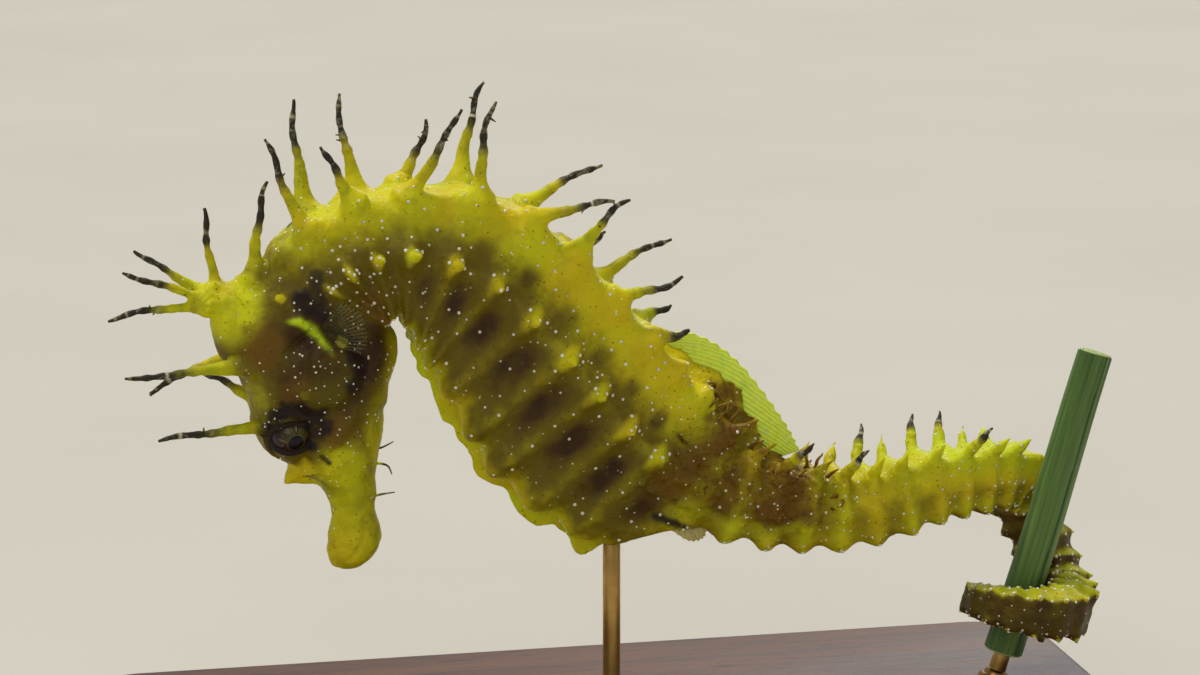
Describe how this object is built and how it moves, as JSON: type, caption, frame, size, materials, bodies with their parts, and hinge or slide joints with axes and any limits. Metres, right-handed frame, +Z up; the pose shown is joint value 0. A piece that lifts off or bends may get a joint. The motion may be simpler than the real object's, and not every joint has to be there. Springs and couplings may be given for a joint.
{
  "type": "long-snouted spiny seahorse model",
  "caption": "Life-size still model of a yellow-green spiny seahorse, head bent down, gripping a cut eelgrass stem with its tail, on a flat wooden base with thin brass rods.",
  "frame": {"origin": "centre of the display base's underside, on the floor", "axes": "+Z up; +X from the head towards the tail and the perch; the animal's midplane is XZ and its left side faces -Y"},
  "size_m": [0.1082, 0.044, 0.07],
  "materials": {
    "skin": "bony rings under wet olive-yellow skin, with yellow ridges, maroon patches and small white spots",
    "fin": "thin translucent yellow-green membrane with fine rays",
    "eye": "clear wet eye, dark pupil in an olive-gold iris",
    "eelgrass": "smooth green leaf sheath with fine lengthwise veins",
    "wood": "dark walnut, satin",
    "brass": "satin"
  },
  "bodies": {
    "root": {"snout": "skin", "head": "skin", "coronet": "skin", "neck": "skin", "trunk_front": "skin", "trunk_middle": "skin", "trunk_rear": "skin", "tail_root": "skin", "tail_middle": "skin", "tail_bend": "skin", "tail_coil_right": "skin", "tail_coil_front": "skin", "tail_coil_left": "skin", "tail_tip": "skin", "dorsal_fin": "fin", "anal_fin": "fin", "pectoral_fin_left": "fin", "pectoral_fin_right": "fin", "eye_left": "eye", "eye_right": "eye", "perch_stem": "eelgrass", "stand_base": "wood", "stand_rod_trunk": "brass", "stand_rod_perch": "brass"}
  },
  "joints": []
}
